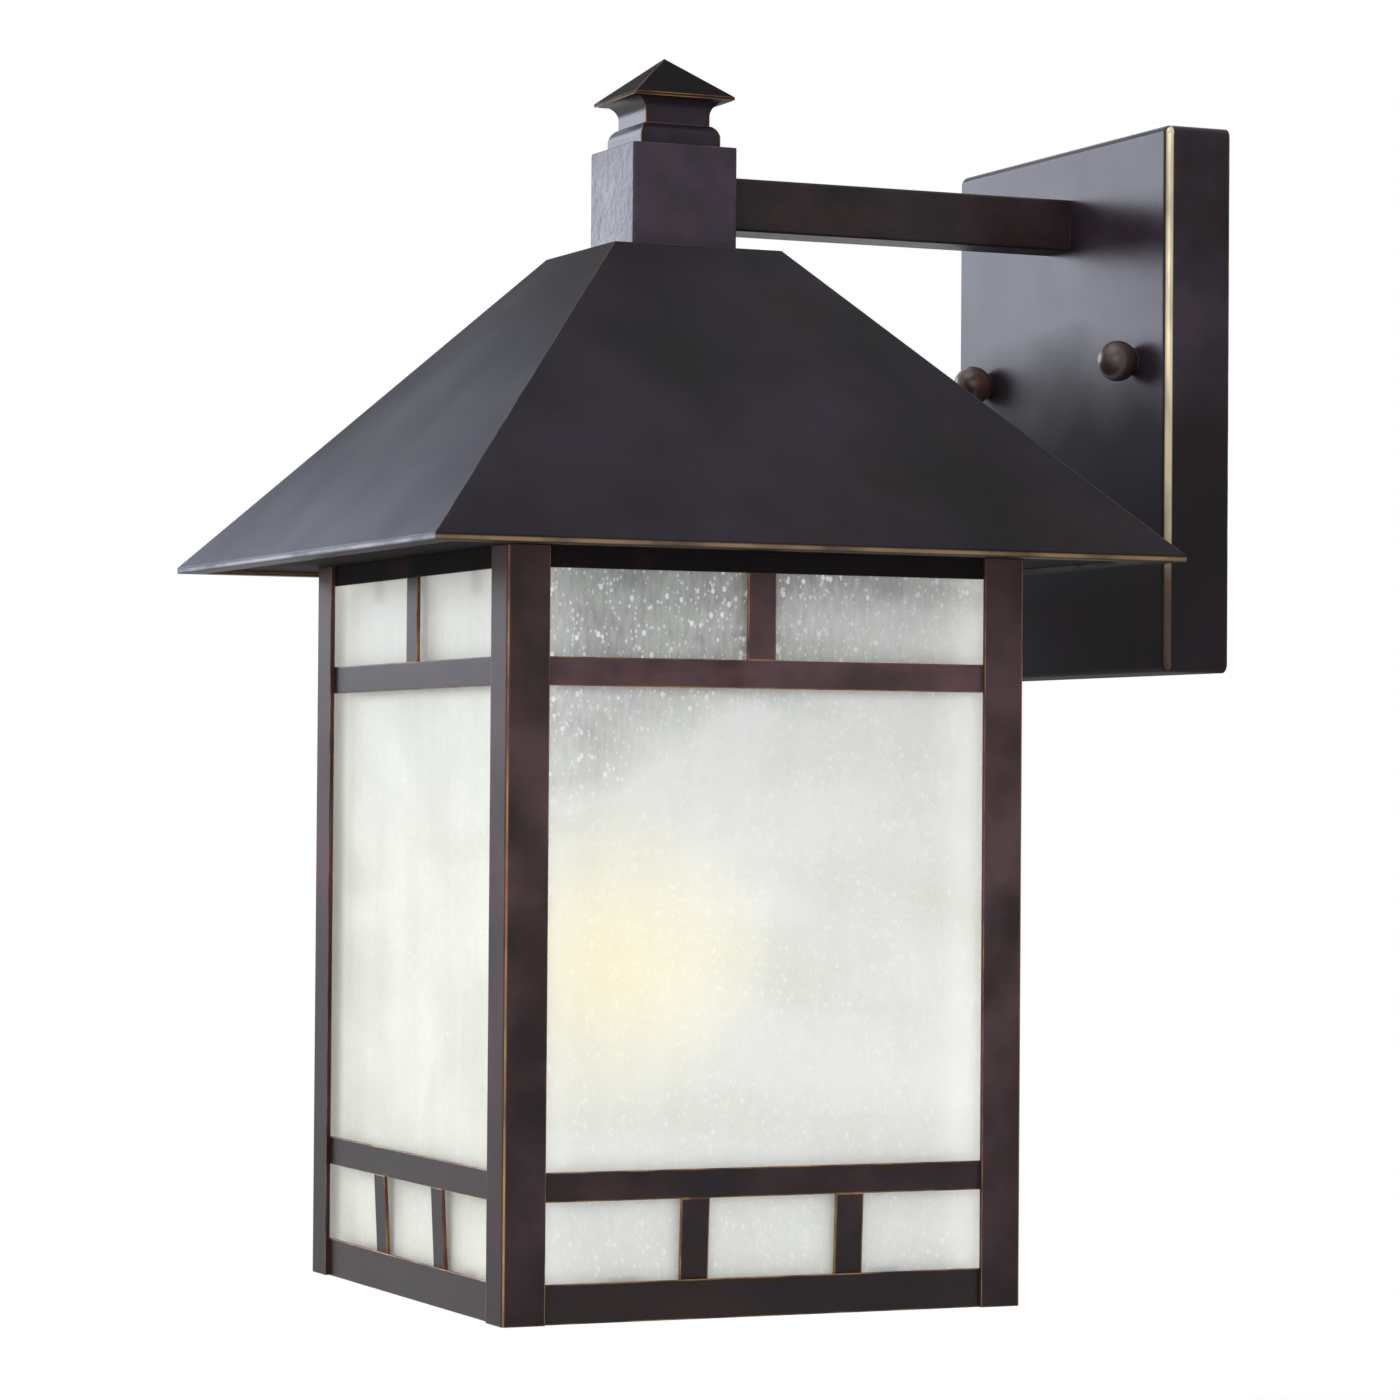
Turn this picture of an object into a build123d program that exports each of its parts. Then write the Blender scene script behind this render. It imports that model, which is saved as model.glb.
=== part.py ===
from build123d import *
from math import atan2, cos, radians, sin, tan
import os

# Outdoor wall lantern on a square arm, in millimetres.
# The origin is the centre of the junction box on the wall plane.
# +Z is up, -Y points out of the wall and +X is to the right, seen from the front.

os.makedirs("parts", exist_ok=True)

# Wall plate, a deep pan that covers the junction box
plate_width = 127.0
plate_height = 152.4
plate_depth = 20.0
plate_wall = 1.4
plate_corner = 2.6
plate_edge = 2.2
plate_drop = 11.5
stud_clearance = 0.4

# Cross bar that is screwed to the junction box
bar_width = 20.0
bar_thickness = 2.4
bar_end = 8.0
bar_corner = 3.0
bar_centre_hole = 10.6
slot_spacing = 79.4
slot_length = 14.4
slot_width = 4.4
ground_offset = 24.0
ground_diameter = 4.8
ground_head = 9.0
ground_head_height = 3.4
ground_slot = 1.2

# Mounting studs with their nuts
nut_spacing = 88.9
stud_diameter = 4.2
stud_reach = 7.0
stud_nut_width = 8.0
stud_nut_height = 3.2
ball_diameter = 11.4
ball_seat_height = 4.2
ball_bore_clearance = 0.05
ball_bore_tip = 0.5
washer_diameter = 7.6
washer_thickness = 0.6
washer_clearance = 0.15

# Arm between the wall plate and the neck block
reach = 145.0
arm_size = 14.8
arm_wall = 1.5
arm_edge = 0.9
arm_rise = 42.5
plug_length = 9.0
nipple_diameter = 8.0
nipple_bore = 5.6
nipple_reach = 9.0
nipple_clearance = 0.3
backing_width = 34.0
backing_height = 22.0
backing_thickness = 2.0
arm_nut_width = 13.0
arm_nut_height = 5.0

# Neck block, threaded rod and finial
neck_size = 31.2
neck_height = 29.2
neck_wall = 2.0
neck_edge = 0.7
rod_diameter = 9.8
rod_bore = 6.4
rod_clearance = 0.25
rod_tail = 3.0
rod_wire_hole = 5.0
rod_washer_diameter = 20.0
rod_washer_thickness = 1.5
rod_nut_width = 14.0
rod_nut_height = 4.5
finial_base = 24.0
finial_slab = 2.4
finial_step = 20.2
finial_step_height = 6.2
finial_step_radius = 4.2
finial_waist = 19.4
finial_waist_height = 9.2
finial_rim = 30.0
finial_rim_height = 13.2
finial_flare_radius = 4.3
finial_rim_edge = 0.9
finial_height = 25.9
finial_grip = 9.5

# Roof, a folded pyramid whose eave turns down and back in
roof_width = 214.0
roof_top = 50.0
roof_rise = 85.8
roof_sheet = 1.2
eave_height = 1.7
eave_fold = 0.4
eave_return = 7.0
soffit_sheet = 1.0
soffit_opening = 116.0
soffit_gap = 0.4

# Glazed cage under the roof
cage_width = 150.0
post_leg = 11.8
post_sheet = 1.3
post_edge = 1.2
rail_sheet = 1.0
top_rail = 5.6
top_lite = 23.1
upper_transom = 7.5
pane_height = 126.1
lower_transom = 7.7
lower_lite = 21.2
bottom_rail = 10.4
shelf_depth = 9.4
shelf_sheet = 1.2
muntin_width = 8.0
muntin_shift = 2.3
lower_muntin_shift = 2.1
muntin_tuck = 4.0
muntin_relief = 0.05
glass_thickness = 3.0
glass_set_back = 3.2
glass_edge_gap = 0.3
glass_top_gap = 0.7
clip_width = 8.0
clip_sheet = 0.8
clip_leg = 10.0
clip_spread = 76.0
frame_screw_diameter = 3.2
frame_screw_inset = 11.7
frame_screw_head = 5.8
frame_screw_head_height = 2.0
frame_screw_tail = 2.0
frame_nut_width = 5.5
frame_nut_height = 2.4

# Lampholder and lamp
strap_width = 18.0
strap_sheet = 1.6
strap_gap = 2.0
strap_screw_inset = 4.2
socket_diameter = 40.0
socket_cap_diameter = 33.0
socket_cap_height = 9.0
socket_height = 48.0
socket_round = 2.0
socket_nipple_diameter = 9.8
socket_nipple_bore = 6.4
socket_nipple_grip = 5.0
socket_nut_height = 3.0
shell_diameter = 27.9
shell_sheet = 0.5
shell_set_back = 3.0
contact_width = 6.0
contact_sheet = 0.6
contact_rise = 4.5
lamp_base_diameter = 26.0
lamp_base_length = 25.0
lamp_base_sheet = 0.5
lamp_tip_height = 3.2
lamp_tip_diameter = 10.0
lamp_tip_collar = 14.0
lamp_solder_diameter = 5.0
lamp_depth = 28.0
lamp_diameter = 60.0
lamp_length = 110.0
lamp_glass = 1.0
lamp_neck_grip = 6.0
lamp_side_angle = radians(35)

# Heights that follow from the sizes above
neck_bottom = arm_rise - neck_height / 2
neck_top = neck_bottom + neck_height
roof_top_z = neck_bottom
eave_z = roof_top_z - roof_rise
eave_bottom = eave_z - eave_height
soffit_z = eave_bottom + roof_sheet
cage_top = soffit_z
lite_top = cage_top - top_rail
transom_top = lite_top - top_lite
pane_top = transom_top - upper_transom
pane_bottom = pane_top - pane_height
lower_top = pane_bottom - lower_transom
lower_bottom = lower_top - lower_lite
cage_bottom = lower_bottom - bottom_rail

# Half widths of the cage, from the lantern's axis out to each layer
cage_half = cage_width / 2
rail_out = cage_half - post_sheet
rail_in = rail_out - rail_sheet
glass_out = rail_out - glass_set_back
glass_in = glass_out - glass_thickness
shelf_in = rail_out - shelf_depth
shelf_z = cage_bottom + shelf_sheet
flange_z = cage_top - shelf_sheet
strap_z = flange_z - strap_sheet

# Pitch of the roof
roof_pitch = atan2(roof_rise, (roof_width - roof_top) / 2)

# Planes through the lantern's axis, across and along the arm
front_section = Plane(origin=(0, -reach, 0), x_dir=(1, 0, 0), z_dir=(0, -1, 0))
side_section = Plane(origin=(0, -reach, 0), x_dir=(0, 1, 0), z_dir=(1, 0, 0))

# The four sides: each plane faces out of the lantern, with its x to the right
sides = {
    "front": Plane(origin=(0, -reach, 0), x_dir=(1, 0, 0), z_dir=(0, -1, 0)),
    "right": Plane(origin=(0, -reach, 0), x_dir=(0, 1, 0), z_dir=(1, 0, 0)),
    "back": Plane(origin=(0, -reach, 0), x_dir=(-1, 0, 0), z_dir=(0, 1, 0)),
    "left": Plane(origin=(0, -reach, 0), x_dir=(0, -1, 0), z_dir=(-1, 0, 0)),
}


def save(piece, name):
    piece.part.label = name
    export_step(piece.part, f"parts/{name}.step")


def level(height):
    # A horizontal plane at this height, centred on the lantern's axis.
    return Plane(origin=(0, -reach, height), x_dir=(1, 0, 0), z_dir=(0, 0, 1))


def hex_nut(plane, points, width, bore, height):
    # Hexagon nuts of one size, standing on a plane at the points given.
    with BuildPart() as nuts:
        with BuildSketch(plane):
            with Locations(*points):
                RegularPolygon(width / 2, 6, major_radius=False)
                Circle(bore / 2, mode=Mode.SUBTRACT)
        extrude(amount=height)
    return nuts


def square_turned(outlines):
    # A body of square plan whose half outline, in the plane of its axis, is the same on all four faces.
    # Both extrusions run past the roof, the widest of these bodies.
    with BuildPart() as turned:
        for plane, mode in ((front_section, Mode.ADD), (side_section, Mode.INTERSECT)):
            with BuildSketch(plane):
                with BuildLine():
                    outlines()
                    mirror(about=Plane.YZ)
                make_face()
            extrude(amount=roof_width, both=True, mode=mode)
    return turned


# Wall plate with its two stud holes and the arm's hole
stud_points = [(-nut_spacing / 2, 0), (nut_spacing / 2, 0)]
with BuildPart() as backplate:
    with BuildSketch(Plane.XZ):
        with Locations((0, -plate_drop)):
            RectangleRounded(plate_width, plate_height, plate_corner)
    extrude(amount=plate_depth)
    fillet(backplate.faces().sort_by(Axis.Y)[0].edges(), plate_edge)
    offset(amount=-plate_wall, openings=backplate.faces().sort_by(Axis.Y)[-1])
    with BuildSketch(Plane.XZ):
        with Locations(*stud_points):
            Circle(stud_diameter / 2 + stud_clearance)
        with Locations((0, arm_rise)):
            Circle(nipple_diameter / 2 + nipple_clearance)
    extrude(amount=plate_depth, mode=Mode.SUBTRACT)
save(backplate, "backplate")


# Cross bar: two crossed arms, one for the studs and one slotted for the box screws
with BuildPart() as crossbar:
    with BuildSketch(Plane.XZ):
        RectangleRounded(nut_spacing + 2 * bar_end, bar_width, bar_corner)
        RectangleRounded(bar_width, slot_spacing + slot_length + bar_end, bar_corner)
        Circle(bar_centre_hole / 2, mode=Mode.SUBTRACT)
        with Locations(*stud_points):
            Circle(stud_diameter / 2, mode=Mode.SUBTRACT)
        with Locations((ground_offset, 0)):
            Circle(ground_diameter / 2, mode=Mode.SUBTRACT)
        with Locations((0, -slot_spacing / 2), (0, slot_spacing / 2)):
            SlotOverall(slot_length, slot_width, rotation=90, mode=Mode.SUBTRACT)
    extrude(amount=bar_thickness)
save(crossbar, "crossbar")

# Earthing screw with a slotted hexagon head
with BuildPart() as ground_screw:
    with BuildSketch(Plane.XZ):
        with Locations((ground_offset, 0)):
            Circle(ground_diameter / 2)
    extrude(amount=bar_thickness)
    with BuildSketch(Plane.XZ.offset(bar_thickness)):
        with Locations((ground_offset, 0)):
            RegularPolygon(ground_head / 2, 6, major_radius=False)
    extrude(amount=ground_head_height)
    with BuildSketch(Plane.XZ.offset(bar_thickness + ground_head_height)):
        with Locations((ground_offset, 0)):
            Rectangle(ground_head * 2, ground_slot)
    extrude(amount=-ground_slot, mode=Mode.SUBTRACT)
save(ground_screw, "ground_screw")

# Studs, their lock nuts on the cross bar, and the washers and ball nuts in front of the plate
stud_length = plate_depth + washer_thickness + stud_reach
ball_radius = ball_diameter / 2
ball_seat_radius = (ball_radius**2 - ball_seat_height**2) ** 0.5
ball_bore = stud_diameter / 2 + ball_bore_clearance
stud_nuts = hex_nut(
    Plane.XZ.offset(bar_thickness), stud_points, stud_nut_width, stud_diameter, stud_nut_height
)
save(stud_nuts, "stud_nuts")
for side, (stud_x, stud_z) in zip(("left", "right"), stud_points):
    with BuildPart() as stud:
        with BuildSketch(Plane.XZ):
            with Locations((stud_x, stud_z)):
                Circle(stud_diameter / 2)
        extrude(amount=stud_length)
    save(stud, f"{side}_stud")

    with BuildPart() as nut_washer:
        with BuildSketch(Plane.XZ.offset(plate_depth)):
            with Locations((stud_x, stud_z)):
                Circle(washer_diameter / 2)
                Circle(stud_diameter / 2 + washer_clearance, mode=Mode.SUBTRACT)
        extrude(amount=washer_thickness)
    save(nut_washer, f"{side}_nut_washer")

    # The ball is cut flat where it bears on the washer, and bored blind for the stud.
    nut_seat = Plane(
        origin=(stud_x, -plate_depth - washer_thickness, stud_z), x_dir=(1, 0, 0), z_dir=(0, 0, -1)
    )
    with BuildPart() as ball_nut:
        with BuildSketch(nut_seat):
            with BuildLine():
                Line((ball_bore, 0), (ball_seat_radius, 0))
                ThreePointArc(
                    (ball_seat_radius, 0),
                    (ball_radius, ball_seat_height),
                    (0, ball_seat_height + ball_radius),
                )
                Polyline(
                    (0, ball_seat_height + ball_radius),
                    (0, stud_reach + ball_bore_tip),
                    (ball_bore, stud_reach + ball_bore_tip),
                    (ball_bore, 0),
                )
            make_face()
        revolve(axis=Axis(nut_seat.origin, (0, -1, 0)))
    save(ball_nut, f"{side}_ball_nut")

# Arm, a square tube from the plate into the neck block
neck_rear = reach - neck_size / 2
arm_length = neck_rear + neck_wall - plate_depth
with BuildPart() as arm_tube:
    with BuildSketch(Plane.XZ.offset(plate_depth)):
        with Locations((0, arm_rise)):
            RectangleRounded(arm_size, arm_size, arm_edge)
            Rectangle(arm_size - 2 * arm_wall, arm_size - 2 * arm_wall, mode=Mode.SUBTRACT)
    extrude(amount=arm_length)
save(arm_tube, "arm_tube")

# Plug in the arm's rear end, with the hollow threaded nipple that clamps it to the plate
with BuildPart() as arm_plug:
    with BuildSketch(Plane.XZ.offset(plate_depth)):
        with Locations((0, arm_rise)):
            Rectangle(arm_size - 2 * arm_wall, arm_size - 2 * arm_wall)
            Circle(nipple_diameter / 2, mode=Mode.SUBTRACT)
    extrude(amount=plug_length)
save(arm_plug, "arm_plug")

nipple_start = plate_depth - plate_wall - backing_thickness - nipple_reach
with BuildPart() as arm_nipple:
    with BuildSketch(Plane.XZ.offset(nipple_start)):
        with Locations((0, arm_rise)):
            Circle(nipple_diameter / 2)
            Circle(nipple_bore / 2, mode=Mode.SUBTRACT)
    extrude(amount=plate_depth + plug_length - nipple_start)
save(arm_nipple, "arm_nipple")

backing_face = plate_depth - plate_wall
with BuildPart() as arm_backing_plate:
    with BuildSketch(Plane.XZ.offset(backing_face)):
        with Locations((0, arm_rise)):
            RectangleRounded(backing_width, backing_height, bar_corner)
            Circle(nipple_diameter / 2 + nipple_clearance, mode=Mode.SUBTRACT)
    extrude(amount=-backing_thickness)
save(arm_backing_plate, "arm_backing_plate")

arm_nut_face = Plane.XZ.offset(backing_face - backing_thickness - arm_nut_height)
arm_nut = hex_nut(arm_nut_face, [(0, arm_rise)], arm_nut_width, nipple_diameter, arm_nut_height)
save(arm_nut, "arm_nut")

# Neck block, open below, with a window for the arm and a hole for the rod
with BuildPart() as neck_block:
    with BuildSketch(level(neck_bottom)):
        RectangleRounded(neck_size, neck_size, neck_edge)
    extrude(amount=neck_height)
    fillet(neck_block.faces().sort_by(Axis.Z)[-1].edges(), neck_edge / 2)
    with BuildSketch(level(neck_bottom)):
        Rectangle(neck_size - 2 * neck_wall, neck_size - 2 * neck_wall)
    extrude(amount=neck_height - neck_wall, mode=Mode.SUBTRACT)
    with BuildSketch(level(neck_top)):
        Circle(rod_diameter / 2 + rod_clearance)
    extrude(amount=-neck_wall, mode=Mode.SUBTRACT)
    with BuildSketch(Plane.XZ.offset(neck_rear)):
        with Locations((0, arm_rise)):
            RectangleRounded(arm_size, arm_size, arm_edge)
    extrude(amount=neck_wall, mode=Mode.SUBTRACT)
save(neck_block, "neck_block")

# Hollow threaded rod through the neck and the roof, cross-drilled for the wires from the arm
rod_washer_z = roof_top_z - roof_sheet - rod_washer_thickness
rod_bottom = rod_washer_z - rod_nut_height - rod_tail
with BuildPart() as centre_rod:
    with BuildSketch(level(rod_bottom)):
        Circle(rod_diameter / 2)
        Circle(rod_bore / 2, mode=Mode.SUBTRACT)
    extrude(amount=neck_top + finial_grip - rod_bottom)
    with BuildSketch(Plane.XZ.offset(reach - rod_diameter)):
        with Locations((0, arm_rise)):
            Circle(rod_wire_hole / 2)
    extrude(amount=rod_diameter, mode=Mode.SUBTRACT)
save(centre_rod, "centre_rod")

with BuildPart() as rod_washer:
    with BuildSketch(level(rod_washer_z)):
        Circle(rod_washer_diameter / 2)
        Circle(rod_diameter / 2 + rod_clearance, mode=Mode.SUBTRACT)
    extrude(amount=rod_washer_thickness)
save(rod_washer, "rod_washer")

rod_nut_z = rod_washer_z - rod_nut_height
rod_nut = hex_nut(level(rod_nut_z), [(0, 0)], rod_nut_width, rod_diameter, rod_nut_height)
save(rod_nut, "rod_nut")


def finial_outline():
    # Base slab, convex step, waist, hollow flare under the rim, then the low pyramid.
    base, step, waist, rim = finial_base / 2, finial_step / 2, finial_waist / 2, finial_rim / 2
    step_z, waist_z = neck_top + finial_step_height, neck_top + finial_waist_height
    slab_z, rim_z = neck_top + finial_slab, neck_top + finial_rim_height
    Polyline((0, neck_top), (base, neck_top), (base, slab_z))
    RadiusArc((base, slab_z), (step, step_z), -finial_step_radius)
    Polyline((step, step_z), (waist, step_z), (waist, waist_z))
    RadiusArc((waist, waist_z), (rim, rim_z), finial_flare_radius)
    Polyline((rim, rim_z), (rim, rim_z + finial_rim_edge), (0, neck_top + finial_height))


with BuildPart() as finial:
    add(square_turned(finial_outline).part)
    with BuildSketch(level(neck_top)):
        Circle(rod_diameter / 2)
    extrude(amount=finial_grip, mode=Mode.SUBTRACT)
save(finial, "finial")


def roof_outline():
    # Flat top and slope, then the eave: a short upright face between two small folds, and a flat underside.
    outline = Polyline(
        (0, roof_top_z),
        (roof_top / 2, roof_top_z),
        (roof_width / 2, eave_z),
        (roof_width / 2, eave_bottom),
        (0, eave_bottom),
    )
    fillet(outline.vertices().sort_by(Axis.X)[-2:], eave_fold)


def hollow_half(height):
    # Half width inside the slope, one sheet in from the outer face.
    return roof_top / 2 + (roof_top_z - height) / tan(roof_pitch) - roof_sheet / sin(roof_pitch)


def hollow_outline():
    ceiling = roof_top_z - roof_sheet
    Polyline(
        (0, ceiling),
        (hollow_half(ceiling), ceiling),
        (hollow_half(soffit_z), soffit_z),
        (0, soffit_z),
    )


with BuildPart() as roof_shell:
    add(square_turned(roof_outline).part)
    add(square_turned(hollow_outline).part, mode=Mode.SUBTRACT)
    with BuildSketch(level(eave_bottom)):
        Rectangle(roof_width - 2 * eave_return, roof_width - 2 * eave_return)
    extrude(amount=roof_sheet, mode=Mode.SUBTRACT)
    with BuildSketch(level(roof_top_z)):
        Circle(rod_diameter / 2 + rod_clearance)
    extrude(amount=-roof_sheet, mode=Mode.SUBTRACT)
save(roof_shell, "roof_shell")

# Screws that hold the cage's top frame and the lampholder strap up to the soffit
screw_inset = rail_out - frame_screw_inset
corner_screws = [(x * screw_inset, y * screw_inset) for x in (-1, 1) for y in (-1, 1)]
strap_half = glass_in - strap_gap
strap_screws = [(x * (strap_half - strap_screw_inset), 0) for x in (-1, 1)]

# Soffit, a square ring that lies on the eave's return, inside the slope
soffit_top = soffit_z + soffit_sheet
soffit_half = hollow_half(soffit_top) - soffit_gap
with BuildPart() as soffit_plate:
    with BuildSketch(level(soffit_z)):
        Rectangle(2 * soffit_half, 2 * soffit_half)
        Rectangle(soffit_opening, soffit_opening, mode=Mode.SUBTRACT)
        with Locations(*corner_screws, *strap_screws):
            Circle(frame_screw_diameter / 2, mode=Mode.SUBTRACT)
    extrude(amount=soffit_sheet)
save(soffit_plate, "soffit_plate")

# Top frame of the cage, an angle ring with its flange turned in under the soffit
with BuildPart() as top_frame:
    with BuildSketch(level(cage_top)):
        Rectangle(2 * rail_out, 2 * rail_out)
        Rectangle(soffit_opening, soffit_opening, mode=Mode.SUBTRACT)
        with Locations(*corner_screws, *strap_screws):
            Circle(frame_screw_diameter / 2, mode=Mode.SUBTRACT)
    extrude(amount=-shelf_sheet)
    with BuildSketch(level(cage_top)):
        Rectangle(2 * rail_out, 2 * rail_out)
        Rectangle(2 * rail_in, 2 * rail_in, mode=Mode.SUBTRACT)
    extrude(amount=-top_rail)
save(top_frame, "top_frame")

# Corner posts, angles with their outer edge slightly rounded
for depth_name, depth_side in (("front", -1), ("rear", 1)):
    for side, across in (("left", -1), ("right", 1)):
        outer = cage_half - post_leg / 2
        inner = cage_half - post_sheet - (post_leg - post_sheet) / 2
        with BuildPart() as post:
            with BuildSketch(level(cage_bottom)):
                with Locations((across * outer, depth_side * outer)):
                    Rectangle(post_leg, post_leg)
                with Locations((across * inner, depth_side * inner)):
                    Rectangle(post_leg - post_sheet, post_leg - post_sheet, mode=Mode.SUBTRACT)
            extrude(amount=cage_top - cage_bottom)
            corner = (across * cage_half, depth_side * cage_half - reach, cage_bottom)
            fillet(post.edges().filter_by(Axis.Z).sort_by_distance(corner)[0], post_edge)
        save(post, f"{depth_name}_{side}_post")

# Rails, muntins and glass of each side. The side rails run through, the others butt on them.
muntin_half = muntin_width / 2
lite_span = cage_width - 2 * post_leg
lower_pitch = (lite_span + muntin_width) / 3
lean = (rail_sheet + muntin_relief) / lower_lite
tuck_z = lower_bottom - muntin_tuck
tuck_in = lean * (lower_top - tuck_z)
clip_points = [-clip_spread / 2, clip_spread / 2]
clips = []
for side, face in sides.items():
    runs_through = side in ("left", "right")
    rail_half = rail_out if runs_through else rail_in
    shelf_half = rail_in if runs_through else shelf_in
    glass_half = glass_in - glass_edge_gap if runs_through else rail_in - glass_edge_gap
    to_front = {"right": -1, "left": 1}.get(side, 0)

    for name, top, height in (
        ("upper_transom", pane_top + upper_transom, upper_transom),
        ("lower_transom", lower_top + lower_transom, lower_transom),
    ):
        with BuildPart() as transom:
            with BuildSketch(face.offset(rail_out)):
                with Locations((0, top - height / 2)):
                    Rectangle(2 * rail_half, height)
            extrude(amount=-rail_sheet)
        save(transom, f"{side}_{name}")

    # The bottom rail is an angle whose flange carries the glass.
    with BuildPart() as rail:
        with BuildSketch(face.offset(rail_out)):
            with Locations((0, cage_bottom + bottom_rail / 2)):
                Rectangle(2 * rail_half, bottom_rail)
        extrude(amount=-rail_sheet)
        with BuildSketch(face.offset(rail_in)):
            with Locations((0, cage_bottom + shelf_sheet / 2)):
                Rectangle(2 * shelf_half, shelf_sheet)
        extrude(amount=-(rail_in - shelf_in))
    save(rail, f"{side}_bottom_rail")

    # One upright muntin above, and two below that lean in and tuck behind the bottom rail.
    with BuildPart() as muntins:
        with BuildSketch(face.offset(rail_out)):
            with Locations((to_front * muntin_shift, lite_top - top_lite / 2)):
                Rectangle(muntin_width, top_lite)
        extrude(amount=-rail_sheet)
        for across in (-lower_pitch / 2, lower_pitch / 2):
            moved = across - to_front * lower_muntin_shift
            edge_plane = Plane(
                origin=face.from_local_coords((moved, 0, 0)), x_dir=face.z_dir, z_dir=-face.x_dir
            )
            with BuildSketch(edge_plane):
                with BuildLine():
                    Polyline(
                        (rail_out, lower_top),
                        (rail_in, lower_top),
                        (rail_in - tuck_in, tuck_z),
                        (rail_out - tuck_in, tuck_z),
                        close=True,
                    )
                make_face()
            extrude(amount=muntin_half, both=True)
    save(muntins, f"{side}_muntins")

    glass_bottom = shelf_z
    glass_top = flange_z - glass_top_gap
    with BuildPart() as glass:
        with BuildSketch(face.offset(glass_out)):
            with Locations((0, (glass_bottom + glass_top) / 2)):
                Rectangle(2 * glass_half, glass_top - glass_bottom)
        extrude(amount=-glass_thickness)
    save(glass, f"{side}_glass")

# Clips that keep the glass out against the frame, two on each flange of each side
with BuildPart() as glass_clips:
    for face in sides.values():
        for across in clip_points:
            edge_plane = Plane(
                origin=face.from_local_coords((across, 0, 0)), x_dir=face.z_dir, z_dir=-face.x_dir
            )
            for flange, up in ((shelf_z, 1), (flange_z, -1)):
                foot = min(glass_in - shelf_in, clip_leg / 2)
                with BuildSketch(edge_plane):
                    with BuildLine():
                        Polyline(
                            (glass_in, flange),
                            (glass_in - foot, flange),
                            (glass_in - foot, flange + up * clip_sheet),
                            (glass_in - clip_sheet, flange + up * clip_sheet),
                            (glass_in - clip_sheet, flange + up * clip_leg),
                            (glass_in, flange + up * clip_leg),
                            close=True,
                        )
                    make_face()
                extrude(amount=clip_width / 2, both=True)
save(glass_clips, "glass_clips")

# Pan-head screws up through the flange or the strap, with nuts on top of the soffit
screw_top = soffit_top + frame_nut_height + frame_screw_tail
with BuildPart() as frame_screws:
    for points, head_z in ((corner_screws, flange_z), (strap_screws, strap_z)):
        with BuildSketch(level(head_z)):
            with Locations(*points):
                Circle(frame_screw_diameter / 2)
        extrude(amount=screw_top - head_z)
        with BuildSketch(level(head_z)):
            with Locations(*points):
                Circle(frame_screw_head / 2)
        extrude(amount=-frame_screw_head_height)
save(frame_screws, "frame_screws")

frame_nuts = hex_nut(
    level(soffit_top),
    corner_screws + strap_screws,
    frame_nut_width,
    frame_screw_diameter,
    frame_nut_height,
)
save(frame_nuts, "frame_nuts")

# Strap across the top frame that carries the lampholder
with BuildPart() as socket_strap:
    with BuildSketch(level(strap_z)):
        RectangleRounded(2 * strap_half, strap_width, bar_corner)
        Circle(socket_nipple_diameter / 2, mode=Mode.SUBTRACT)
        with Locations(*strap_screws):
            Circle(frame_screw_diameter / 2, mode=Mode.SUBTRACT)
    extrude(amount=strap_sheet)
save(socket_strap, "socket_strap")

# Hollow nipple and nut that hold the lampholder to the strap
socket_top = strap_z
nipple_top = flange_z + socket_nut_height + socket_nipple_grip / 2
with BuildPart() as socket_nipple:
    with BuildSketch(level(socket_top - socket_nipple_grip)):
        Circle(socket_nipple_diameter / 2)
        Circle(socket_nipple_bore / 2, mode=Mode.SUBTRACT)
    extrude(amount=nipple_top - socket_top + socket_nipple_grip)
save(socket_nipple, "socket_nipple")

socket_nut = hex_nut(
    level(flange_z), [(0, 0)], rod_nut_width, socket_nipple_diameter, socket_nut_height
)
save(socket_nut, "socket_nut")

# Porcelain lampholder: a cap above, and a round body bored from below
socket_bottom = socket_top - socket_height
lamp_top = socket_bottom + lamp_depth
bore_top = lamp_top + contact_rise
with BuildPart() as socket_body:
    with BuildSketch(front_section):
        with BuildLine():
            cap, body, bore = socket_cap_diameter / 2, socket_diameter / 2, shell_diameter / 2
            shoulder = socket_top - socket_cap_height
            Polyline(
                (socket_nipple_diameter / 2, socket_top),
                (cap, socket_top),
                (cap, shoulder),
                (body - socket_round, shoulder),
            )
            RadiusArc((body - socket_round, shoulder), (body, shoulder - socket_round), socket_round)
            Polyline(
                (body, shoulder - socket_round),
                (body, socket_bottom),
                (bore, socket_bottom),
                (bore, bore_top),
                (socket_nipple_diameter / 2, bore_top),
                (socket_nipple_diameter / 2, socket_top),
            )
        make_face()
    revolve(axis=Axis((0, -reach, 0), (0, 0, 1)))
save(socket_body, "socket_body")

# Brass screw shell that lines the bore
with BuildPart() as socket_shell:
    with BuildSketch(level(socket_bottom + shell_set_back)):
        Circle(shell_diameter / 2)
        Circle(shell_diameter / 2 - shell_sheet, mode=Mode.SUBTRACT)
    extrude(amount=bore_top - socket_bottom - shell_set_back)
save(socket_shell, "socket_shell")

# Centre contact, a tongue bent down from the top of the bore onto the lamp's tip
with BuildPart() as socket_contact:
    with BuildSketch(front_section):
        with BuildLine():
            tongue_root = shell_diameter / 2 - shell_sheet - contact_sheet
            Polyline(
                (-tongue_root, bore_top),
                (tongue_root / 2 + contact_sheet, bore_top),
                (contact_width / 2, lamp_top),
                (-contact_width / 2, lamp_top),
                (-contact_width / 2, lamp_top + contact_sheet),
                (contact_width / 2 - contact_sheet, lamp_top + contact_sheet),
                (tongue_root / 2, bore_top - contact_sheet),
                (-tongue_root, bore_top - contact_sheet),
                close=True,
            )
        make_face()
    extrude(amount=contact_width / 2, both=True)
save(socket_contact, "socket_contact")

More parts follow.
